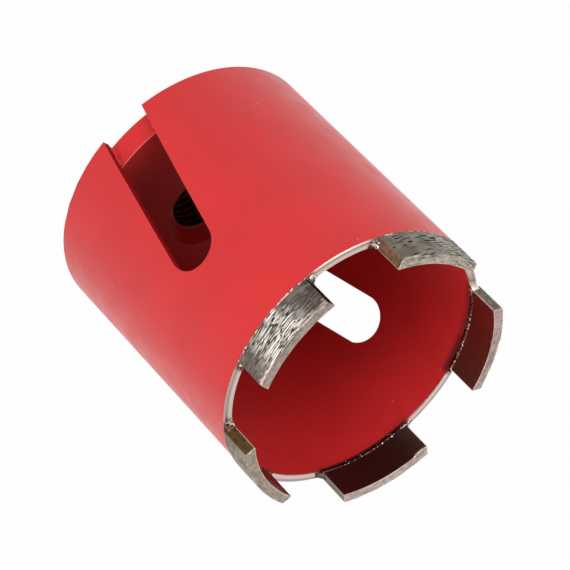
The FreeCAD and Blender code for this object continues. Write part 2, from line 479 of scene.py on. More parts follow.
# Deeper in the wall than this the solder is calmer, by this share
CALM_DEPTH, CALM = 1.1 * MM, 0.35
# Height over which the drops along a segment's foot are strewn
DROP_SPREAD = 0.4 * MM
# Drops past each end of a segment, and how far along, up and across the wall they are strewn
END_DROPS, END_REACH, END_RISE, END_SPREAD = 6, 0.5 * MM, 0.15 * MM, 1.6 * MM
# How bright the solder is along the foot of each segment, and past its two ends
SEAM_SHINE = {1: 0.5, 2: 0.25, 3: 0.1, 4: 0.3, 5: 0.35}
END_SHINE = {1: (0.4, 0.45), 2: (0.3, 0.4), 3: (0.2, 0.45), 4: (0.6, 1.0), 5: (0.3, 0.4)}
# How far before a segment's end its foot starts to shine like the end, and over which length
SHINE_START, SHINE_BLEND = 1.2 * MM, 0.6 * MM


def melted_copy(name, node, voxel, drops=()):
    """Even skin over a CAD solid and any drops that were laid on it, as metal that has flowed."""
    form = bmesh.new()
    form.from_mesh(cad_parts[node].data)
    bmesh.ops.remove_doubles(form, verts=form.verts, dist=0.5 * TOUCHING)
    for centre, radius in drops:
        bmesh.ops.create_icosphere(form, subdivisions=2, radius=radius, matrix=Matrix.Translation(centre))
    mesh = bpy.data.meshes.new(name)
    form.to_mesh(mesh)
    form.free()
    piece = new_object(name, mesh)
    remesh = piece.modifiers.new("skin", "REMESH")
    remesh.mode = "VOXEL"
    remesh.voxel_size = voxel
    smooth = piece.modifiers.new("flow", "SMOOTH")
    smooth.factor = 0.5
    smooth.iterations = 2
    return settle(piece)


def raise_points(mesh, height_at):
    """Moves each point along its normal by height_at(point)."""
    normals = [vertex.normal.copy() for vertex in mesh.vertices]
    for vertex, normal in zip(mesh.vertices, normals):
        vertex.co += normal * height_at(vertex.co)
    mesh.update()


def build_base_weld(number):
    """Seam with the ripples of a bead that was laid round the plate, painted with the barrel."""
    form = sizes("bit_solder")
    node = "base_weld_%d" % number
    piece = melted_copy("base_seam_%d" % number, node, WELD_COARSER * form.voxel)

    def ripple(at):
        along = math.atan2(at.y, at.x) * PLATE_RADIUS
        wander = noise.noise(at / RIPPLE_WANDER)
        return form.ripple * (math.sin(math.tau * along / form.ripple_pitch + 2 * wander) - 0.5)

    raise_points(piece.data, ripple)
    # The weld's edges get no painted highlight
    no_painted_highlight = 0.0
    enamel = material_of("sprayed_alkyd_enamel_on_weld", sprayed_enamel, no_painted_highlight)
    finish_piece(piece, [node], [enamel])


def segment_matrix(number):
    """Turn that takes the segment at -Y to its place."""
    form = sizes("bit_segment")
    return Matrix.Rotation(form.turn + math.tau * (number - 1) / SEGMENTS, 4, "Z")


def solder_drops(number):
    """Drops along the outer and the inner foot of a segment, larger outside, and some past its ends."""
    form, block = sizes("bit_solder"), sizes("bit_segment")
    draw = random.Random(40 + number)
    place = segment_matrix(number)
    drops = []

    def lay(x, radius, height, size):
        drops.append((place @ Vector((x, -math.sqrt(radius ** 2 - x * x), height)), size))

    outside = (BARREL_RADIUS, RIM_HEIGHT - 0.1 * MM, 0.6, form.drops)
    inside = (BARREL_RADIUS - 2.1 * MM, SEGMENT_FOOT, 0.24, form.drops // 2)
    for radius, height, share, count in (outside, inside):
        for _ in range(count):
            x = (draw.random() - 0.5) * block.length
            size = form.drop * share * (0.3 + 0.7 * draw.random() ** 3)
            lay(x, radius, height + (draw.random() - 0.5) * DROP_SPREAD, size)
    middle = BARREL_RADIUS - 1.0 * MM
    for side in (-1, 1):
        for _ in range(END_DROPS):
            x = side * (block.length / 2 + END_REACH * draw.random())
            size = form.drop * (0.25 + 0.35 * draw.random())
            radius = middle + (draw.random() - 0.5) * END_SPREAD
            lay(x, radius, RIM_HEIGHT + END_RISE * draw.random(), size)
    return drops


def build_solder(number):
    """Lumpy solder round the foot of one segment."""
    form = sizes("bit_solder")
    node = "solder_joint_%d" % number
    piece = melted_copy("solder_run_%d" % number, node, form.voxel, solder_drops(number))

    def lumps(at):
        coarse = noise.noise(at / LARGE_LUMP)
        fine = noise.noise(at / SMALL_LUMP)
        calm = CALM if math.hypot(at.x, at.y) < BARREL_RADIUS - CALM_DEPTH else 1.0
        return form.lump * calm * (0.8 * coarse + 0.4 * fine)

    raise_points(piece.data, lumps)
    back = segment_matrix(number).inverted()
    half = sizes("bit_segment").length / 2
    shine = []
    for vertex in piece.data.vertices:
        along = (back @ vertex.co).x
        past = clamp((abs(along) - half + SHINE_START) / SHINE_BLEND)
        shine.append((1 - past) * SEAM_SHINE[number] + past * END_SHINE[number][along > 0])
    store(piece.data, "shine", shine)
    finish_piece(piece, [node], [material_of("brazed_silver_solder", silver_solder)])


# Segments

# How each segment is worn. torn and pitted say how far its outside is torn into flakes and pitted, and
# side on which side it has more pits. edge says how far its tip's outer edge is worn, and rub how wide
# that edge is rubbed bright in millimetres. bright is the place along it where the bare metal shines, as
# centre and reach in millimetres. chips are broken out of the tip's edges, each with its edge, start,
# stop and depth in millimetres. lines says how bright the pale lines along the edges between
# inside, tip and ends are: a painted highlight that stands also for rubbed metal.
# The colours are those of its outside, its inside, its tip and its two ends.
WEAR = {
    1: {"torn": 1.0, "pitted": 0.6, "side": -1, "edge": 1.5, "rub": 1.3, "bright": (0.8, 5.7),
        "chips": (("outer", -11.4, -7.5, 0.3),), "lines": 0.35,
        "outside": "857870", "inside": "7A6D62", "tip": "BFACA3", "ends": ("120E0C", "75665C")},
    2: {"torn": 0.1, "pitted": 0.5, "side": 0, "edge": 1.8, "rub": 1.0, "bright": (-4.0, 8.0),
        "chips": (("outer", -3.0, -1.2, 0.25), ("outer", 3.5, 5.0, 0.2)), "lines": 0.7,
        "outside": "927F6E", "inside": "6C5F55", "tip": "B6A696", "ends": ("5C452B", "75665C")},
    3: {"torn": 0.6, "pitted": 0.7, "side": 0, "edge": 0.3, "rub": 0.3, "bright": (0.0, 7.0),
        "chips": (("inner", 7.6, 11.4, 0.3),), "lines": 0.5,
        "outside": "857A70", "inside": "73665B", "tip": "D0BCB3", "ends": ("6C5F5B", "75665C")},
    4: {"torn": 0.6, "pitted": 0.8, "side": 0, "edge": 0.3, "rub": 0.3, "bright": (-3.0, 7.0),
        "chips": (("inner", 1.2, 2.4, 0.25), ("outer", -11.4, 1.8, 0.22)), "lines": 0.6,
        "outside": "857A70", "inside": "A08E7C", "tip": "C6B0A6", "ends": ("75665C", "766B64")},
    5: {"torn": 0.35, "pitted": 1.4, "side": -1, "edge": 0.5, "rub": 0.25, "bright": (-5.0, 5.0),
        "chips": (("outer", 4.6, 11.4, 0.3),), "lines": 0.7,
        "outside": "8A8376", "inside": "7A6D62", "tip": "CDBFB0", "ends": ("75665C", "826552")},
}

# Sizes of the worn skin in millimetres: a flake along and across the bit's turn, how soon the gap
# between flakes closes, a pit along, across and into the skin, and how far apart the pits' clusters are
FLAKE_LENGTH, FLAKE_WIDTH, CRACK_WIDTH = 4.2, 0.42, 0.15
PIT_SIZE, CLUSTER = (2.4, 0.4, 0.3), 3.2
# Lean of the pits off the bit's turn, and the level of the noise from which a pit begins
PIT_LEAN, PIT_LEVEL = math.radians(8), 0.16
# Arbitrary numbers that scatter a flake's place into a number of its own
SCATTER, SCATTER_GAIN = Vector((12.99, 78.23, 37.72)), 4375.85
# Lengths over which the tip's worn edge is uneven and ragged, and over which a rub and a chip fade out
UNEVEN, RAGGED, RUB_FADE, CHIP_FADE = 1.5 * MM, 0.9 * MM, 0.35 * MM, 0.8 * MM
# Width of the pale lines along the other edges, a painted highlight that stands also for rubbed metal,
# and how far they are brightened so that they show
LINE_WIDTH, LINE_GAIN = 0.32 * MM, 1.5


def graded(low, high, step, edge):
    """Even steps from low to high, with closer ones at both ends where the edges are rounded."""
    near = [0.0, 0.3 * edge, 0.6 * edge, edge, 1.5 * edge]
    inner_low, inner_high = low + 2.2 * edge, high - 2.2 * edge
    count = max(2, round((inner_high - inner_low) / step))
    middle = [inner_low + (inner_high - inner_low) * index / count for index in range(count + 1)]
    return [low + part for part in near] + middle + [high - part for part in near[::-1]]


def block_shell(xs, ys, zs):
    """Points on the six sides of a grid block, with the faces between them."""
    last = (len(xs) - 1, len(ys) - 1, len(zs) - 1)
    index, points, faces = {}, [], []

    def vertex(i, j, k):
        key = (i, j, k)
        if key not in index:
            index[key] = len(points)
            points.append((xs[i], ys[j], zs[k]))
        return index[key]

    for axis in range(3):
        first, second = [other for other in range(3) if other != axis]
        for level in (0, last[axis]):
            for a in range(last[first]):
                for b in range(last[second]):
                    corners = []
                    for da, db in ((0, 0), (1, 0), (1, 1), (0, 1)):
                        key = [0, 0, 0]
                        key[axis], key[first], key[second] = level, a + da, b + db
                        corners.append(vertex(*key))
                    faces.append(corners)
    return points, faces


def broken_skin(spot, seed):
    """Flakes drawn out round the bit: how near the crack between two of them is, and the flake's own
    number, both from 0 to 1."""
    warp = 0.25 * noise.noise(spot / 2.2 + seed)
    cell = Vector((spot.x / FLAKE_LENGTH + warp, spot.y / FLAKE_WIDTH, spot.z / FLAKE_WIDTH + warp)) + seed
    gaps, flakes = noise.voronoi(cell)
    crack = clamp(1.25 - (gaps[1] - gaps[0]) / CRACK_WIDTH)
    return crack, math.sin(flakes[0].dot(SCATTER)) * SCATTER_GAIN % 1.0


def short_pits(spot, seed, side):
    """Short pits along the bit's turn that lie in clusters, from 0 to 1, with more on one side."""
    along = spot.x * math.cos(PIT_LEAN) + spot.z * math.sin(PIT_LEAN)
    across = spot.z * math.cos(PIT_LEAN) - spot.x * math.sin(PIT_LEAN)
    pit = noise.noise(Vector((along / PIT_SIZE[0], across / PIT_SIZE[1], spot.y / PIT_SIZE[2])) + seed)
    cluster = noise.noise(spot / CLUSTER + seed)
    return clamp((pit + 0.4 * cluster + 0.014 * side * spot.x - PIT_LEVEL) / PIT_LEVEL)


def segment_skin(number, at, facing):
    """Depth of the worn skin at a place on a segment, with its groove and glint for the finish."""
    form, wear = sizes("bit_segment"), WEAR[number]
    spot = at / MM
    seed = Vector((17.3 * number, 5.1 * number, 3.7))
    outer, inner, tip, end = max(0.0, facing.y), max(0.0, -facing.y), max(0.0, facing.z), abs(facing.x)
    crack, flake = broken_skin(spot, seed)
    pit = short_pits(spot, seed, wear["side"])
    swell = noise.noise(spot / 2.4 + seed)
    rise = (at.z - SEGMENT_FOOT) / (SEGMENT_TIP - SEGMENT_FOOT)
    centre, reach = wear["bright"]
    off = spot.x + 1.2 * swell - centre + 2 * rise - 1
    bare = math.exp(-(off / (reach * (0.8 + 0.4 * rise))) ** 4)
    torn = wear["torn"] * (0.42 + 0.58 * bare)
    fine = noise.noise(Vector((spot.x / 2.2, spot.y, spot.z / 0.28)) + seed)
    flaked = form.groove * torn * (crack + 0.8 * flake + 0.5 * fine)
    depth = outer * (flaked + form.pit * pit * wear["pitted"])
    depth += outer * 0.25 * form.groove * (1 + swell)
    depth += (0.35 * tip + 0.15 * end) * form.pit * pit + 0.15 * tip * form.groove * (1 + fine)
    # groove: where the finish paints shade into the cracks and pits
    groove = outer * max(crack * torn, pit * wear["pitted"]) + pit * (0.4 * tip * wear["pitted"] + 0.2 * end)
    glint = outer * wear["torn"] * bare * (1 - crack) * (0.5 + 0.75 * flake + 0.6 * fine)
    return max(0.0, depth) * (1 - inner), min(1.0, groove), clamp(glint)


def edge_wear(number, at, low, high):
    """Depth lost along the tip's edges, where the outer one is worn round and uneven and chips broke
    off, and how bright the fresh metal is there, from 0 to 1."""
    form, wear = sizes("bit_segment"), WEAR[number]
    down = high.z - at.z
    near_tip = max(0.0, 1 - down / form.worn_reach)
    near_outside = max(0.0, 1 - (high.y - at.y) / form.worn_reach)
    near_inside = max(0.0, 1 - (at.y - low.y) / form.worn_reach)
    uneven = 0.75 + 0.9 * noise.noise(Vector((at.x / UNEVEN, 7.7 * number, 0.3)))
    lost = form.worn_edge * wear["edge"] * near_tip * near_outside * max(0.0, uneven)
    ragged = 1 + noise.noise(Vector((at.x / RAGGED, 3.3 * number, down / (RAGGED / 3))))
    fresh = clamp((wear["rub"] * MM * ragged - down) / RUB_FADE) * min(1.0, 1.5 * near_outside)
    for edge, start, stop, depth in wear["chips"]:
        inside = min(at.x - start * MM, stop * MM - at.x)
        share = clamp(inside * ragged / CHIP_FADE)
        broken = share * near_tip * (near_inside if edge == "inner" else near_outside)
        lost += depth * MM * broken
        fresh = max(fresh, min(1.0, 2.5 * broken))
    return lost, fresh


def near_edge(corner, low, high):
    """1 at the edges between inside, tip and ends, where a painted highlight stands also for rubbed
    metal, falling to 0 beside them.
    """
    inside = max(0.0, 1 - (corner[1] - low.y) / LINE_WIDTH)
    end = max(0.0, 1 - (high.x - abs(corner[0])) / LINE_WIDTH)
    tip = max(0.0, 1 - (high.z - corner[2]) / LINE_WIDTH)
    return min(1.0, LINE_GAIN * max(min(inside, end), min(inside, tip), min(end, tip)))


def build_segment(number):
    """Curved block with parallel ends, its outside torn into flakes and pitted, its tip's edges worn."""
    form = sizes("bit_segment")
    half, edge = form.length / 2, form.edge_round
    low = Vector((-half, SEGMENT_OUTER - form.thickness, SEGMENT_FOOT))
    high = Vector((half, SEGMENT_OUTER, SEGMENT_TIP))
    steps = (form.grain, form.grain, 0.5 * form.grain)
    grids = [graded(low[axis], high[axis], steps[axis], edge) for axis in range(3)]
    raw, faces = block_shell(*grids)
    place = segment_matrix(number)
    core_low, core_high = low + Vector((edge,) * 3), high - Vector((edge,) * 3)
    points = []
    marks = {name: [] for name in ("groove", "glint", "tip", "inner", "low_end", "high_end", "line")}
    for corner in raw:
        core = Vector([min(max(corner[axis], core_low[axis]), core_high[axis]) for axis in range(3)])
        facing = (Vector(corner) - core).normalized()
        at = core + facing * edge
        depth, groove, glint = segment_skin(number, at, facing)
        lost, fresh = edge_wear(number, at, low, high)
        at -= facing * (depth + lost)
        points.append(place @ Vector((at.x, -math.sqrt(at.y ** 2 - at.x ** 2), at.z)))
        marks["groove"].append(groove)
        marks["glint"].append(glint)
        marks["tip"].append(max(facing.z, fresh * (1 - abs(facing.x)), 0.0))
        marks["inner"].append(max(0.0, -facing.y))
        marks["low_end"].append(max(0.0, -facing.x))
        marks["high_end"].append(max(0.0, facing.x))
        # line: the painted highlight along the edges, standing also for rubbed metal
        marks["line"].append(WEAR[number]["lines"] * near_edge(corner, low, high))
    piece = new_piece("segment_block_%d" % number, points, faces)
    for name, values in marks.items():
        store(piece.data, name, values)
    metal = material_of("sintered_metal_ground_%d" % number, sintered_metal, number)
    finish_piece(piece, ["segment_%d" % number], [metal])


# Finishes

# Settings that many nodes share. A colour mix has its share in input 0 and its two colours in 6 and 7.
SMOOTH = {"interpolation_type": "SMOOTHSTEP"}
COLOUR = {"data_type": "RGBA", "out": 2}
PLUS = {"operation": "ADD"}
LESS = {"operation": "SUBTRACT"}
TIMES = {"operation": "MULTIPLY"}
LARGER = {"operation": "MAXIMUM"}


def add(tree, kind, inputs=(), out=0, **settings):
    """Adds a node and gives one of its outputs. Its inputs are values or sockets, in its own order or
    by name in a dict, and the settings are its own options."""
    node = tree.nodes.new("ShaderNode" + kind)
    for name, value in settings.items():
        setattr(node, name, value)
    for name, value in inputs.items() if isinstance(inputs, dict) else enumerate(inputs):
        if isinstance(value, bpy.types.NodeSocket):
            tree.links.new(value, node.inputs[name])
        else:
            node.inputs[name].default_value = value
    return node.outputs[out] if node.outputs else None


def material_of(name, surface, *details):
    """Material of this name, whose nodes are made by surface(tree, *details) the first time."""
    material = bpy.data.materials.get(name)
    if material is None:
        material = bpy.data.materials.new(name)
        material.use_nodes = True
        tree = material.node_tree
        tree.nodes.clear()
        add(tree, "OutputMaterial", (surface(tree, *details),))
    return material


def place_of(tree):
    """Point of the surface in the bit's own frame, in millimetres."""
    where = add(tree, "TexCoord", out="Object")
    return add(tree, "VectorMath", {0: where, "Scale": 1 / MM}, operation="SCALE")


def across_axis(tree, where):
    """Place seen along the bit's axis, with no height."""
    return add(tree, "VectorMath", (where, (1, 1, 0)), **TIMES)


def from_axis(tree, where):
    """Distance from the bit's axis in millimetres."""
    return add(tree, "VectorMath", (across_axis(tree, where),), out="Value", operation="LENGTH")


def facing_out(tree, where):
    """How squarely the surface faces away from the bit's axis or towards it, from 0 to 1."""
    away = add(tree, "VectorMath", (across_axis(tree, where),), operation="NORMALIZE")
    normal = add(tree, "NewGeometry", out="Normal")
    along = add(tree, "VectorMath", (away, normal), out="Value", operation="DOT_PRODUCT")
    return add(tree, "Math", (along,), operation="ABSOLUTE")


def facing_up(tree):
    """How squarely the surface faces up or down the bit, from 0 to 1."""
    normal = add(tree, "NewGeometry", out="Normal")
    return add(tree, "Math", (add(tree, "SeparateXYZ", (normal,), out="Z"),), operation="ABSOLUTE")


# Shares of a segment's pitch, from its middle, where the heat's stain begins to fade and has faded. Its
# border is ragged: width of the spots in millimetres, and how far they move it.
HEAT_END, HEAT_FADED = 0.325, 0.372
HEAT_SPOTS, HEAT_RAGGED = 1.5, 0.05


def soldering_heat(tree, where):
    """1 at and beside each segment, where the brazing tinted the steel, else 0. The enamel's darkening
    inside the mouth, partly scorch and partly painted shade, uses it too.
    """
    x, y = [add(tree, "SeparateXYZ", (where,), out=axis) for axis in "XY"]
    turn = add(tree, "Math", (y, x), operation="ARCTAN2")
    past_first = add(tree, "Math", (turn, -math.pi / 2 + sizes("bit_segment").turn), **LESS)
    share = add(tree, "Math", (past_first, math.tau / SEGMENTS), operation="DIVIDE")
    half_pitch = 0.5
    positive = add(tree, "Math", (share, 2 * SEGMENTS + half_pitch), **PLUS)
    share = add(tree, "Math", (positive,), operation="FRACT")
    off = add(tree, "Math", (add(tree, "Math", (share, half_pitch), **LESS),), operation="ABSOLUTE")
    spots = add(tree, "TexNoise", {"Vector": where, "Scale": 1 / HEAT_SPOTS, "Detail": 3.0})
    stain = add(tree, "Math", (off, add(tree, "Math", (spots, HEAT_RAGGED), **TIMES)), **PLUS)
    return add(tree, "MapRange", (stain, HEAT_END, HEAT_FADED, 1.0, 0.0), **SMOOTH)


# Distance between the turned rings in millimetres. Real turning marks are finer and wouldn't show.
RING_STEP = 0.25
# Depth in the wall, in millimetres, around which the rim grows darker outwards
RIM_DARKER = 1.0


def turned_steel(tree, where):
    """Mild steel turned on a lathe: a bright ring with fine grooves round the axis, darker in its outer
    half and tinted brown by heat beside the solder."""
    radius = from_axis(tree, where)
    rings = add(tree, "TexNoise", {"W": radius, "Scale": 1 / RING_STEP}, noise_dimensions="1D")
    middle = BARREL_RADIUS / MM - RIM_DARKER
    outer_half = add(tree, "MapRange", (radius, middle - 0.2, middle + 0.3, 0.0, 0.75), **SMOOTH)
    layers = (
        (rings, linear("D0C2BA")),
        (outer_half, linear("B0968A")),
        (soldering_heat(tree, where), linear("75604F")),
    )
    colour = sizes("bit_colours").steel
    for share, layer in layers:
        colour = add(tree, "Mix", {0: share, 6: colour, 7: layer}, **COLOUR)
    return add(tree, "BsdfPrincipled", {
        "Metallic": 1.0,
        "Base Color": colour,
        "Roughness": add(tree, "MapRange", (rings, 0.3, 0.7, 0.28, 0.42), **SMOOTH),
        "Normal": add(tree, "Bump", {"Strength": 0.25, "Distance": 0.05 * MM, "Height": rings}),
    })


# Widths of the enamel's patterns in millimetres: slow change of its red, of its gloss and of the darkening
# inside the mouth, which is partly scorch and partly painted shade, and the ragged line at the rim. Real
# orange peel is finer, and is drawn as coarse as it needs to show.
CLOUDS, GLOSS, DARKENING_PATCHES, PAINT_LINE, PEEL = 14.0, 5.0, 9.0, 0.8, 1.1
# Distance between specks of dust in millimetres, and the share of it where a speck fades out
DUST_APART, DUST_SIZE = 6.25, (0.02, 0.035)
# Depths below the rim in millimetres: where the darkening inside the mouth, partly scorch and partly
# painted shade, ends and is full, and where the paint does
DARKENING_DOWN, LINE_DOWN = (2.7, 1.0), (0.42, 0.36)
# How far the paint's line wanders, in millimetres
LINE_RAGGED = 0.18
# Distances from the bore's radius in millimetres: inwards, from where rounded edges get a painted
# highlight, as the barrel's do, and outwards, where its inner skin ends
EDGES_FROM, INSIDE_TO = (0.7, 0.5), (1.0, 1.4)
# How far inside the countersink's radius, in millimetres, the worn ring beside the thread fades out
SINK_WORN = (2.9, 2.3)
# The side of the mouth on which the inside is painted darkest, as painted shade
SHADED_TURN = math.radians(108)
SHADED_SIDE = (math.cos(SHADED_TURN), math.sin(SHADED_TURN), 0)


def sprayed_enamel(tree, painted_highlight_share=0.18):
    """Alkyd enamel sprayed on steel and fired: a saturated satin red with slight orange peel, whose
    gloss shows the pale surroundings at a low angle. Its rounded edges are pale, a painted highlight.
    It is duller inside and on the faces across the axis, darker on those faces as painted shade, matt and
    darker on the slots' cut sides as painted shade, and darker inside the mouth beside the segments, most
    on one side: partly the scorch of the soldering heat and partly painted shade. It stops in a ragged
    line at the rim, which was turned bare."""
    where = place_of(tree)
    height = add(tree, "SeparateXYZ", (where,), out="Z")
    radius, outward = from_axis(tree, where), facing_out(tree, where)
    bore = (BARREL_RADIUS - sizes("bit_barrel").wall) / MM
    sink = sizes("bit_base").sink_radius / MM
    rim = RIM_HEIGHT / MM

    clouds = add(tree, "TexNoise", {"Vector": where, "Scale": 1 / CLOUDS, "Detail": 1.0})
    clouds = add(tree, "MapRange", (clouds, 0.3, 0.7, 0.0, 0.22), **SMOOTH)
    dust = add(tree, "TexVoronoi", {"Vector": where, "Scale": 1 / DUST_APART}, out="Distance")
    dust = add(tree, "MapRange", (dust, *DUST_SIZE, 0.55, 0.0), **SMOOTH)

    # flat: the faces across the axis and the countersink, where the enamel is painted darker as shade
    not_outward = add(tree, "MapRange", (outward, 0.2, 0.6, 1.0, 0.0), **SMOOTH)
    in_sink = add(tree, "MapRange", (radius, sink, sink + 0.5, 1.0, 0.0), **SMOOTH)
    flat = add(tree, "Math", (not_outward, in_sink), **LARGER)
    # cut: the slots' cut sides, painted darker as shade and made matt
    sideways = add(tree, "MapRange", (outward, 0.1, 0.4, 0.7, 0.0), **SMOOTH)
    not_up = add(tree, "MapRange", (facing_up(tree), 0.3, 0.6, 1.0, 0.0), **SMOOTH)
    cut = add(tree, "Math", (sideways, not_up), **TIMES)
    worn_ring = (radius, sink - SINK_WORN[0], sink - SINK_WORN[1], 0.6, 0.0)

    # Painted highlight: pale enamel on the rounded edges, where the faces turn sideways
    painted_edge_highlight = add(tree, "MapRange", (outward, 0.15, 0.4), **SMOOTH)
    not_square = add(tree, "MapRange", (outward, 0.93, 0.99, 1.0, 0.0), **SMOOTH)
    on_barrel = (radius, bore - EDGES_FROM[0], bore - EDGES_FROM[1], 0.0, painted_highlight_share)
    for part in (not_square, add(tree, "MapRange", on_barrel, **SMOOTH)):
        painted_edge_highlight = add(tree, "Math", (painted_edge_highlight, part), **TIMES)

    inside = (radius, bore + INSIDE_TO[0], bore + INSIDE_TO[1], 1.0, 0.0)
    inside = add(tree, "MapRange", inside, **SMOOTH)
    # Darker enamel inside the mouth near the rim beside the segments: partly the scorch of the soldering
    # heat, partly painted shade, which is stronger on one side
    near_rim = add(tree, "MapRange", (height, rim - DARKENING_DOWN[0], rim - DARKENING_DOWN[1]), **SMOOTH)
    shaded_side = add(tree, "VectorMath", (where, SHADED_SIDE), out="Value", operation="DOT_PRODUCT")
    shaded_side = add(tree, "MapRange", (shaded_side, 0.68 * bore, 0.9 * bore, 0.25, 0.85), **SMOOTH)
    patchy = add(tree, "TexNoise", {"Vector": where, "Scale": 1 / DARKENING_PATCHES, "Detail": 1.0})
    patchy = add(tree, "MapRange", (patchy, 0.4, 0.6, 0.6, 1.0), **SMOOTH)
    scorch_and_shade = inside
    for part in (near_rim, shaded_side, soldering_heat(tree, where), patchy):
        scorch_and_shade = add(tree, "Math", (scorch_and_shade, part), **TIMES)

    layers = (
        (clouds, linear("B81216")),
        (dust, linear("F0B0A8")),
        # painted shade on the faces across the axis and in the countersink
        (add(tree, "Math", (flat, 0.5), **TIMES), linear("7E0D10")),
        # painted shade on the slots' cut sides
        (cut, linear("8A0A0C")),
        (add(tree, "MapRange", worn_ring, **SMOOTH), linear("A07868")),
        # painted highlight on the rounded edges
        (painted_edge_highlight, linear("F6B8B0")),
        # partly scorch, partly painted shade
        (scorch_and_shade, linear("4A1012")),
    )
    red = sizes("bit_colours").enamel
    for share, layer in layers:
        red = add(tree, "Mix", {0: share, 6: red, 7: layer}, **COLOUR)

    gloss = add(tree, "TexNoise", {"Vector": where, "Scale": 1 / GLOSS, "Detail": 3.0})
    gloss = add(tree, "MapRange", (gloss, 0.3, 0.7, 0.30, 0.38), **SMOOTH)
    dull = add(tree, "Math", (add(tree, "Math", (inside, flat), **LARGER), 0.28), **TIMES)
    peel = add(tree, "TexNoise", {"Vector": where, "Scale": 1 / PEEL, "Detail": 1.0})
    paint = add(tree, "BsdfPrincipled", {
        "IOR": 1.5,
        "Base Color": red,
        "Roughness": add(tree, "Math", (gloss, dull), **PLUS),
        "Normal": add(tree, "Bump", {"Strength": 0.05, "Distance": 0.1 * MM, "Height": peel}),
    })
    paint = add(tree, "MixShader", (cut, paint, add(tree, "BsdfDiffuse", (red,))))

    ragged = add(tree, "TexNoise", {"Vector": where, "Scale": 1 / PAINT_LINE})
    ragged = add(tree, "Math", (ragged, LINE_RAGGED), **TIMES)
    level = add(tree, "Math", (height, ragged), **LESS)
    bare = add(tree, "MapRange", (level, rim - LINE_DOWN[0], rim - LINE_DOWN[1]), **SMOOTH)
    return add(tree, "MixShader", (bare, paint, turned_steel(tree, where)))


# Width of the oil's stains in millimetres
OIL = 1.2


def shaded_hole_steel(tree):
    """Turned, oiled steel painted a near-black red, standing for the shade in the hole and a reflection of
    the red walls: dull, so that the thread shows only faintly."""
    where = place_of(tree)
    spots = add(tree, "TexNoise", {"Vector": where, "Scale": 1 / OIL, "Detail": 4.0})
    stains = add(tree, "MapRange", (spots, 0.35, 0.7), **SMOOTH)
    return add(tree, "BsdfPrincipled", {
        "Metallic": 1.0,
        # near-black red: painted shade in the hole and a painted reflection of the red walls
        "Base Color": add(tree, "Mix", {0: stains, 6: linear("3A0604"), 7: linear("4A0E0A")}, **COLOUR),
        "Roughness": add(tree, "MapRange", (spots, 0.3, 0.7, 0.72, 0.85), **SMOOTH),
        "Normal": add(tree, "Bump", {"Strength": 0.2, "Distance": 0.05 * MM, "Height": spots}),
    })


# Widths of the solder's patterns in millimetres: burnt patches, bright sparks, the fine skin, which is
# finer on the real solder and wouldn't show, and the ragged line of the overspray
PATCH, SPARK, SOLDER_SKIN, OVERSPRAY = 2.2, 0.6, 0.3, 1.1
# The overspray in millimetres: height of its line above the rim, how far the line wanders, half of its
# fade, and how far outside the bore's radius its darker inner part, partly scorch and partly painted
# shade, begins to fade and over which width
OVERSPRAY_UP, OVERSPRAY_RAGGED, OVERSPRAY_FADE, DARKENED_TO = 0.5, 1.3, 0.08, (1.0, 0.4)


def silver_solder(tree):
    """Silver solder, brazed by induction: lumpy metal, browned by the heat and flux, with bright sparks
    where it ran clean. The barrel's enamel covers its lower edge in a ragged line, and is darker on
    the inner side, partly scorch and partly painted shade."""
    colours = sizes("bit_colours")
    where = place_of(tree)
    shine = add(tree, "Attribute", out="Fac", attribute_name="shine")
    patch = add(tree, "TexNoise", {"Vector": where, "Scale": 1 / PATCH})
    clean = add(tree, "TexNoise", {"Vector": where, "Scale": 1 / SPARK, "Detail": 1.0})
    for part, gain in ((patch, 0.8), (shine, 0.4)):
        clean = add(tree, "Math", (clean, add(tree, "Math", (part, gain), **TIMES)), **PLUS)
    clean = add(tree, "MapRange", (clean, 1.08, 1.18), **SMOOTH)
    burnt = add(tree, "Math", (patch, 0.2), **PLUS)
    burnt = add(tree, "Math", (burnt, add(tree, "Math", (shine, 0.5), **TIMES)), **LESS)
    burnt = add(tree, "MapRange", (burnt, 0.35, 0.7), **SMOOTH)
    brown = add(tree, "Mix", {0: burnt, 6: linear("82645A"), 7: linear("38201C")}, **COLOUR)
    fine = add(tree, "TexNoise", {"Vector": where, "Scale": 1 / SOLDER_SKIN})
    metal = add(tree, "BsdfPrincipled", {
        "Metallic": 1.0,
        "Base Color": add(tree, "Mix", {0: clean, 6: brown, 7: colours.solder}, **COLOUR),
        "Roughness": add(tree, "MapRange", (fine, 0.3, 0.7, 0.18, 0.4), **SMOOTH),
        "Normal": add(tree, "Bump", {"Strength": 0.35, "Distance": 0.08 * MM, "Height": fine}),
    })
    # The overspray's inner side is darker: partly scorch, partly painted shade
    start = (BARREL_RADIUS - sizes("bit_barrel").wall) / MM + DARKENED_TO[0]
    scorch_and_shade = (from_axis(tree, where), start, start + DARKENED_TO[1], 0.85, 0.0)
    scorch_and_shade = add(tree, "MapRange", scorch_and_shade, **SMOOTH)
    overspray = add(tree, "BsdfPrincipled", {
        "IOR": 1.5,
        "Roughness": 0.5,
        "Base Color": add(tree, "Mix", {0: scorch_and_shade, 6: colours.enamel, 7: linear("521A16")}, **COLOUR),
    })
    ragged = add(tree, "TexNoise", {"Vector": where, "Scale": 1 / OVERSPRAY})
    ragged = add(tree, "Math", (ragged, OVERSPRAY_RAGGED), **TIMES)
    level = add(tree, "Math", (add(tree, "SeparateXYZ", (where,), out="Z"), ragged), **PLUS)
    line = RIM_HEIGHT / MM + OVERSPRAY_UP
    bare = add(tree, "MapRange", (level, line - OVERSPRAY_FADE, line + OVERSPRAY_FADE), **SMOOTH)
    return add(tree, "MixShader", (bare, overspray, metal))


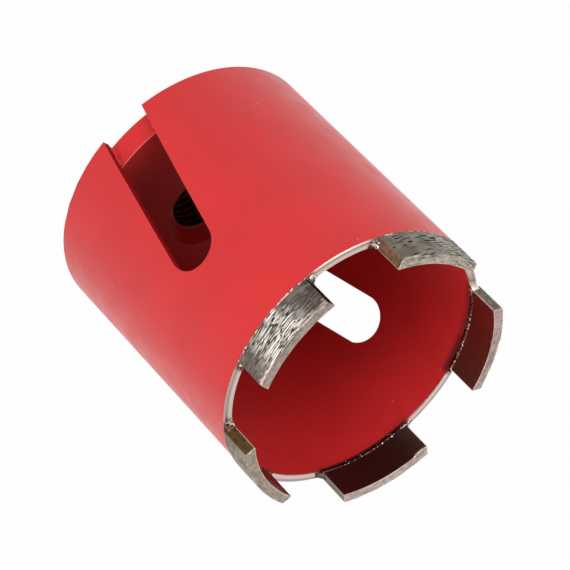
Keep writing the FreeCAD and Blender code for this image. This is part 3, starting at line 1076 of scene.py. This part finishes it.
# Widths of the sintered metal's patterns in millimetres: clouds, the mottle of the tip and the ends, and
# the powder with its grit, which is a little finer on the real segments and wouldn't show
METAL_CLOUDS, MOTTLE, POWDER = 3.0, 0.9, 0.3
# How much the clouds darken the outside, and the mottle lightens and darkens the tip and the ends
CLOUD_DARK, TIP_MOTTLE, END_MOTTLE = 0.62, (1.14, 0.84), (1.25, 0.75)


def sintered_metal(tree, number):
    """Hot-pressed iron and bronze powder with diamond grit, ground outside: grey-brown metal with
    bright flakes, grooves and pits darkened as painted shade, a pale mottled tip, a smooth dark inner
    face without grit, and pale lines along the edges, a painted highlight that stands also for rubbed metal."""
    wear, colours = WEAR[number], sizes("bit_colours")
    where = place_of(tree)
    clouds = add(tree, "TexNoise", {"Vector": where, "Scale": 1 / METAL_CLOUDS, "Detail": 3.0})
    clouds = add(tree, "MapRange", (clouds, 0.35, 0.65), **SMOOTH)
    mottle = add(tree, "TexNoise", {"Vector": where, "Scale": 1 / MOTTLE, "Detail": 3.0})
    mottle = add(tree, "MapRange", (mottle, 0.38, 0.62), **SMOOTH)
    powder = add(tree, "TexNoise", {"Vector": where, "Scale": 1 / POWDER, "Detail": 3.0})
    mark = {}
    for name in ("groove", "glint", "inner", "tip", "low_end", "high_end", "line"):
        mark[name] = add(tree, "Attribute", out="Fac", attribute_name=name)
    ends = [(mark["tip"], wear["tip"], TIP_MOTTLE)]
    for name, colour in zip(("low_end", "high_end"), wear["ends"]):
        ends.append((add(tree, "MapRange", (mark[name], 0.35, 0.75), **SMOOTH), colour, END_MOTTLE))
    mottled = []
    for share, colour, (light, dark) in ends:
        both = {0: mottle, 6: linear(colour, light), 7: linear(colour, dark)}
        mottled.append((share, add(tree, "Mix", both, **COLOUR)))
    grit = add(tree, "MapRange", (powder, 0.58, 0.72, 0.0, 0.55), **SMOOTH)
    not_inner = add(tree, "MapRange", (mark["inner"], 0.3, 0.8, 1.0, 0.0), **SMOOTH)
    layers = (
        (clouds, linear(wear["outside"], CLOUD_DARK)),
        (mark["inner"], linear(wear["inside"])),
        *mottled,
        # painted highlight along the edges
        (mark["line"], linear("F4E4DA")),
        (mark["glint"], colours.glint),
        # painted shade in the cracks and pits
        (mark["groove"], colours.groove),
        (add(tree, "Math", (grit, not_inner), **TIMES), linear("4A4038")),
    )
    colour = linear(wear["outside"])
    for share, layer in layers:
        colour = add(tree, "Mix", {0: share, 6: colour, 7: layer}, **COLOUR)
    rough = add(tree, "MapRange", (mark["inner"], 0.2, 0.9, 0.42, 0.30), **SMOOTH)
    rubbed = add(tree, "Math", (mark["line"], 0.9), **TIMES)
    return add(tree, "BsdfPrincipled", {
        "Metallic": 1.0,
        "Base Color": colour,
        "Roughness": add(tree, "Math", (rough, rubbed), **LARGER),
        "Normal": add(tree, "Bump", {"Strength": 0.3, "Distance": 0.05 * MM, "Height": powder}),
    })


# Stage

# Each lamp's name, compass angle and height angle in degrees, distance and width in metres, and watts
LAMPS = (
    ("key", -64, 11, 0.75, 0.7, 3.25),
    ("mouth_light", -150, 37, 0.75, 0.4, 1.8),
)
# Half of the floor's width in metres, its squares along a side, and how far it shows white
FLOOR_HALF, FLOOR_STEPS, FLOOR_WHITE = 3.0, 12, 0.98
# How near and how far the camera sees, in metres
NEAREST, FARTHEST = 0.05, 20


def direction(azimuth, elevation):
    """Direction from the bit at a compass angle and a height angle."""
    level = math.cos(elevation)
    return Vector((math.cos(azimuth) * level, math.sin(azimuth) * level, math.sin(elevation)))


def make_camera():
    """Camera turned about its own axis, because the bit is pictured lying, its mouth to the lower right."""
    form = sizes("bit_view")
    back = direction(form.azimuth, form.elevation)
    level_right = Vector((0, 0, 1)).cross(back).normalized()
    level_up = back.cross(level_right)
    up = level_up * math.cos(form.roll) - level_right * math.sin(form.roll)
    right = up.cross(back)
    data = bpy.data.cameras.new("view")
    data.lens = form.lens
    data.shift_x, data.shift_y = form.shift
    data.clip_start, data.clip_end = NEAREST, FARTHEST
    camera = new_object("view", data)
    turn = Matrix((right, up, back)).transposed().to_4x4()
    camera.matrix_world = Matrix.Translation(Vector(form.aim) + back * form.distance) @ turn
    bpy.context.scene.camera = camera


def make_lamp(name, azimuth, elevation, distance, width, power):
    """Square soft lamp that points at the middle of the bit."""
    data = bpy.data.lights.new(name, "AREA")
    data.shape = "SQUARE"
    data.size = width
    data.energy = power
    lamp = new_object(name, data)
    back = direction(math.radians(azimuth), math.radians(elevation))
    lamp.location = Vector((0, 0, RIM_HEIGHT / 2)) + back * distance
    lamp.rotation_mode = "QUATERNION"
    lamp.rotation_quaternion = back.to_track_quat("Z", "Y")


def looked_at(tree):
    """1 where the camera sees the surroundings, also in metal or through glass, and 0 for their light."""
    seen = 0.0
    for ray in ("Is Camera Ray", "Is Glossy Ray", "Is Transmission Ray"):
        seen = add(tree, "Math", (seen, add(tree, "LightPath", out=ray)), **LARGER)
    return seen


def white_board(tree):
    """Matt white board, seen nearly as pure white, with part of the bit's shadow left on it."""
    share = add(tree, "Math", (looked_at(tree), FLOOR_WHITE), **TIMES)
    board = add(tree, "BsdfDiffuse", (linear("F4F4F2"),))
    white = add(tree, "Emission", (linear("FFFFFF"), 1.0))
    return add(tree, "MixShader", (share, board, white))


def make_floor():
    """Pale floor that the bit stands on, in squares."""
    row = FLOOR_STEPS + 1
    line = [FLOOR_HALF * (2 * step / FLOOR_STEPS - 1) for step in range(row)]
    corners = [j * row + i for j in range(FLOOR_STEPS) for i in range(FLOOR_STEPS)]
    floor = new_piece(
        "floor", [(x, y, 0) for y in line for x in line],
        [(corner, corner + 1, corner + row + 1, corner + row) for corner in corners])
    floor.data.materials.append(material_of("matt_white_board", white_board))


def make_world():
    """Pale surroundings, white at and below the horizon and darker overhead. As a light they fall off
    more than they do to the eye, in the picture and in reflections."""
    world = bpy.data.worlds.new("tent")
    bpy.context.scene.world = world
    world.use_nodes = True
    tree = world.node_tree
    tree.nodes.clear()
    upward = add(tree, "SeparateXYZ", (add(tree, "TexCoord", out="Generated"),), out="Z")
    lit = add(tree, "MapRange", (upward, 0.38, 0.64, 1.0, 0.05), **SMOOTH)
    shown = add(tree, "MapRange", (upward, 0.3, 0.95, 1.0, 0.5), **SMOOTH)
    more = add(tree, "Math", (shown, lit), **LESS)
    more = add(tree, "Math", (more, looked_at(tree)), **TIMES)
    strength = add(tree, "Math", (lit, more), **PLUS)
    add(tree, "OutputWorld", (add(tree, "Background", (linear("FFFFFF"), strength)),))


class BIT_OT_barrel(bpy.types.Operator):
    """Build the enamelled barrel with its two dust slots"""

    bl_idname = "bit.barrel"
    bl_label = "Barrel"

    def execute(self, context):
        build_barrel()
        return {"FINISHED"}


class BIT_OT_base(bpy.types.Operator):
    """Build the plate and the threaded hub"""

    bl_idname = "bit.base"
    bl_label = "Threaded base"

    def execute(self, context):
        build_base()
        return {"FINISHED"}


class BIT_OT_welds(bpy.types.Operator):
    """Lay the rippled seams between base and barrel"""

    bl_idname = "bit.welds"
    bl_label = "Base welds"

    def execute(self, context):
        for number in (1, 2):
            build_base_weld(number)
        return {"FINISHED"}


class BIT_OT_segments(bpy.types.Operator):
    """Build the diamond segments with their ground and pitted skin"""

    bl_idname = "bit.segments"
    bl_label = "Segments"

    def execute(self, context):
        for number in range(1, SEGMENTS + 1):
            build_segment(number)
        return {"FINISHED"}


class BIT_OT_solder(bpy.types.Operator):
    """Lay the lumpy solder round the foot of each segment"""

    bl_idname = "bit.solder"
    bl_label = "Solder"

    def execute(self, context):
        for number in range(1, SEGMENTS + 1):
            build_solder(number)
        return {"FINISHED"}


class BIT_OT_stage(bpy.types.Operator):
    """Set up the floor, the surroundings, the lamps and the camera"""

    bl_idname = "bit.stage"
    bl_label = "Stage"

    def execute(self, context):
        make_floor()
        make_world()
        for lamp in LAMPS:
            make_lamp(*lamp)
        make_camera()
        context.scene.view_settings.view_transform = "Standard"
        return {"FINISHED"}


class BIT_PT_panel(bpy.types.Panel):
    """Buttons that build the bit piece by piece"""

    bl_label = "Core Bit"
    bl_space_type = "VIEW_3D"
    bl_region_type = "UI"
    bl_category = "Core Bit"

    def draw(self, context):
        for operator in OPERATORS:
            self.layout.operator(operator.bl_idname)


OPERATORS = (BIT_OT_barrel, BIT_OT_base, BIT_OT_welds, BIT_OT_segments, BIT_OT_solder, BIT_OT_stage)
CLASSES = (*GROUPS.values(), *OPERATORS, BIT_PT_panel)


def register():
    for cls in CLASSES:
        bpy.utils.register_class(cls)
    for name, group in GROUPS.items():
        setattr(bpy.types.Scene, name, PointerProperty(type=group))


def unregister():
    for name in GROUPS:
        delattr(bpy.types.Scene, name)
    for cls in reversed(CLASSES):
        bpy.utils.unregister_class(cls)


def main():
    register()
    for operator in OPERATORS:
        family, action = operator.bl_idname.split(".")
        getattr(getattr(bpy.ops, family), action)()


if __name__ == "__main__":
    main()
